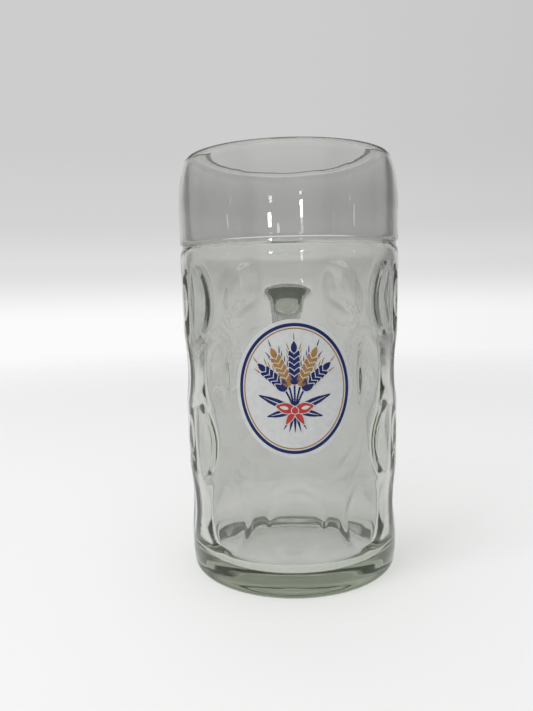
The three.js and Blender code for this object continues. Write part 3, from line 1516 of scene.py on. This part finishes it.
@dataclass
class Studio:
    """Camera, floor, surroundings and lamps."""

    mug: PressedMug
    camera_distance: float = 0.3242
    camera_azimuth: float = math.radians(-1.6)
    camera_height: float = 0.1380
    pitch: float = math.radians(-5.74)
    yaw: float = math.radians(2.16)
    roll: float = math.radians(-1.29)
    focal_pixels: float = 640.3
    long_side_pixels: float = 711.0
    sensor_width: float = 36.0
    clip: Pair = (0.01, 50.0)
    bounces: int = 32
    floor_radius: float = 1.6
    floor_drop: float = 0.05 * MM
    floor_sides: int = 96
    floor_fade: Pair = (0.35, 1.28)
    floor_colour: Colour = (0.95, 0.95, 0.95, 1.0)
    width_tones: tuple[Pair, ...] = (
        (0.0, 0.78),
        (0.07, 0.78),
        (0.155, 0.5),
        (0.175, 0.5),
        (0.25, 1.0),
        (0.5, 1.0),
        (0.74, 0.93),
        (0.825, 0.38),
        (0.85, 0.38),
        (0.93, 0.68),
        (1.0, 0.68),
    )
    depth_tones: tuple[Pair, ...] = (
        (0.0, 0.95),
        (0.5, 0.88),
        (0.85, 0.85),
        (0.92, 1.0),
    )
    height_tones: tuple[Pair, ...] = (
        (0.0, 0.92),
        (0.48, 0.96),
        (0.52, 0.74),
        (0.555, 0.65),
        (0.61, 0.61),
        (0.7, 0.61),
        (0.77, 1.02),
        (1.0, 1.02),
    )
    lamps: tuple[Lamp, ...] = field(
        default_factory=lambda: (
            Lamp("softbox_left", -50.0, 42.0, 1.7, (0.7, 0.7), 8.6),
            Lamp("softbox_right", 48.0, 38.0, 1.7, (0.7, 0.7), 0.5),
            Lamp("softbox_top", 180.0, 78.0, 1.5, (0.8, 0.8), 1.0),
            Lamp("ceiling_left", -19.2, 6.8, 2.2, (0.12, 0.1), 1.4, True),
            Lamp("ceiling_right", 11.2, 8.9, 2.2, (0.10, 0.065), 0.7, True),
            Lamp("window_left", -63.6, 7.3, 2.2, (0.035, 0.12), 0.06, True),
            Lamp("window_right", 66.4, 7.3, 2.2, (0.035, 0.12), 0.06, True),
        )
    )

    def set_camera(self) -> None:
        """Puts the camera where the photograph was taken."""
        scene = bpy.context.scene
        data = bpy.data.cameras.new("camera")
        camera = bpy.data.objects.new("camera", data)
        scene.collection.objects.link(camera)
        data.sensor_width = self.sensor_width
        data.lens = self.focal_pixels / self.long_side_pixels * self.sensor_width
        data.clip_start, data.clip_end = self.clip
        away = Matrix.Rotation(self.camera_azimuth, 3, "Z") @ Vector((0.0, -self.camera_distance, 0.0))
        place = self.mug.axis + away + Vector((0.0, 0.0, self.camera_height))
        turn = (
            Matrix.Rotation(self.yaw + self.camera_azimuth, 4, "Z")
            @ Matrix.Rotation(math.pi / 2 + self.pitch, 4, "X")
            @ Matrix.Rotation(self.roll, 4, "Z")
        )
        camera.matrix_world = Matrix.Translation(place) @ turn
        scene.camera = camera

    def lay_floor(self) -> None:
        """Lays a pale round floor that fades into the surroundings at its edge."""
        floor = rename(disc(self.floor_sides, self.floor_radius, filled=True), "floor")
        floor.data.transform(Matrix.Translation((0.0, 0.0, -self.floor_drop)))
        material = bpy.data.materials.new("pale_floor")
        material.use_nodes = True
        bench = NodeBench(material.node_tree)
        place = bench.add("ShaderNodeTexCoord").outputs["Object"]
        far = bench.add("ShaderNodeVectorMath", {0: place}, operation="LENGTH").outputs["Value"]
        fade = bench.fade(far, self.floor_fade)
        matt = bench.add("ShaderNodeBsdfDiffuse", {"Color": self.floor_colour})
        clear = bench.add("ShaderNodeBsdfTransparent")
        mix = bench.add(
            "ShaderNodeMixShader", {0: fade, 1: matt.outputs["BSDF"], 2: clear.outputs["BSDF"]}
        )
        bench.add("ShaderNodeOutputMaterial", {"Surface": mix.outputs["Shader"]})
        dress(floor, material)

    def surround(self) -> None:
        """Makes pale surroundings: greyer above the horizon, with a darker zone at each side."""
        world = bpy.data.worlds.new("studio")
        world.use_nodes = True
        bpy.context.scene.world = world
        bench = NodeBench(world.node_tree)
        direction = bench.add("ShaderNodeTexCoord").outputs["Generated"]
        parts = bench.add("ShaderNodeSeparateXYZ", {"Vector": direction}).outputs
        tone = self.grade(bench, parts["X"], self.width_tones)
        for part, tones in (("Y", self.depth_tones), ("Z", self.height_tones)):
            tone = bench.mix(1.0, tone, self.grade(bench, parts[part], tones), "MULTIPLY")
        light = bench.add("ShaderNodeBackground", {"Color": tone, "Strength": 1.0})
        bench.add("ShaderNodeOutputWorld", {"Surface": light.outputs["Background"]})

    @staticmethod
    def grade(bench: NodeBench, value: NodeSocket, tones: tuple[Pair, ...]) -> NodeSocket:
        """Grades a grey by one part of the direction.

        Args:
            bench: The bench of the surroundings.
            value: The part of the direction, from -1 to 1.
            tones: The stops of the gradient, each a place from 0 to 1 and a tone.

        Returns:
            The grey.
        """
        share = bench.add("ShaderNodeMapRange", {"Value": value, "From Min": -1.0, "From Max": 1.0})
        ramp = bench.add("ShaderNodeValToRGB", {"Fac": share.outputs["Result"]})
        ramp.color_ramp.interpolation = "EASE"
        stops = ramp.color_ramp.elements
        stops.remove(stops[1])
        for index, (position, tone) in enumerate(tones):
            stop = stops[0] if index == 0 else stops.new(position)
            stop.position = position
            stop.color = (tone, tone, tone, 1.0)
        return ramp.outputs["Color"]

    def hang_lamps(self) -> None:
        """Hangs the lamps round the mug, each turned to its middle."""
        aim = self.mug.axis + Vector((0.0, 0.0, self.mug.height / 2))
        for lamp in self.lamps:
            data = bpy.data.lights.new(lamp.name, "AREA")
            data.shape = "RECTANGLE"
            data.size, data.size_y = lamp.size
            data.energy = lamp.power
            azimuth, elevation = math.radians(lamp.azimuth), math.radians(lamp.elevation)
            away = Vector(
                (
                    math.sin(azimuth) * math.cos(elevation),
                    -math.cos(azimuth) * math.cos(elevation),
                    math.sin(elevation),
                )
            )
            light = bpy.data.objects.new(lamp.name, data)
            light.location = aim + away * lamp.distance
            light.rotation_euler = away.to_track_quat("Z", "Y").to_euler()
            light.visible_camera = False
            light.visible_glossy = lamp.mirrored
            light.visible_transmission = lamp.mirrored
            bpy.context.scene.collection.objects.link(light)

    def build(self) -> None:
        """Sets up the whole studio."""
        scene = bpy.context.scene
        scene.view_settings.view_transform = "Standard"
        for kind in ("max_bounces", "transmission_bounces", "glossy_bounces"):
            setattr(scene.cycles, kind, self.bounces)
        self.set_camera()
        self.lay_floor()
        self.surround()
        self.hang_lamps()


def main() -> None:
    """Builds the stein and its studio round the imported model."""
    logging.basicConfig(level=logging.INFO, format="%(name)s: %(message)s")
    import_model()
    low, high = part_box("mug_body")
    mug = PressedMug(axis=Vector(((low.x + high.x) / 2, (low.y + high.y) / 2, 0.0)), height=high.z)
    effects = SharedEffects()
    Studio(mug).build()
    glass = GlassStein(mug, LoopHandle(mug), GlassFinish()).build(effects)
    LOG.info("%s: %d faces", glass.name, len(glass.data.polygons))
    for piece in PrintedLabel(mug, HarvestEmblem()).build(effects):
        LOG.info("%s: %d faces", piece.name, len(piece.data.polygons))


if __name__ == "__main__":
    main()
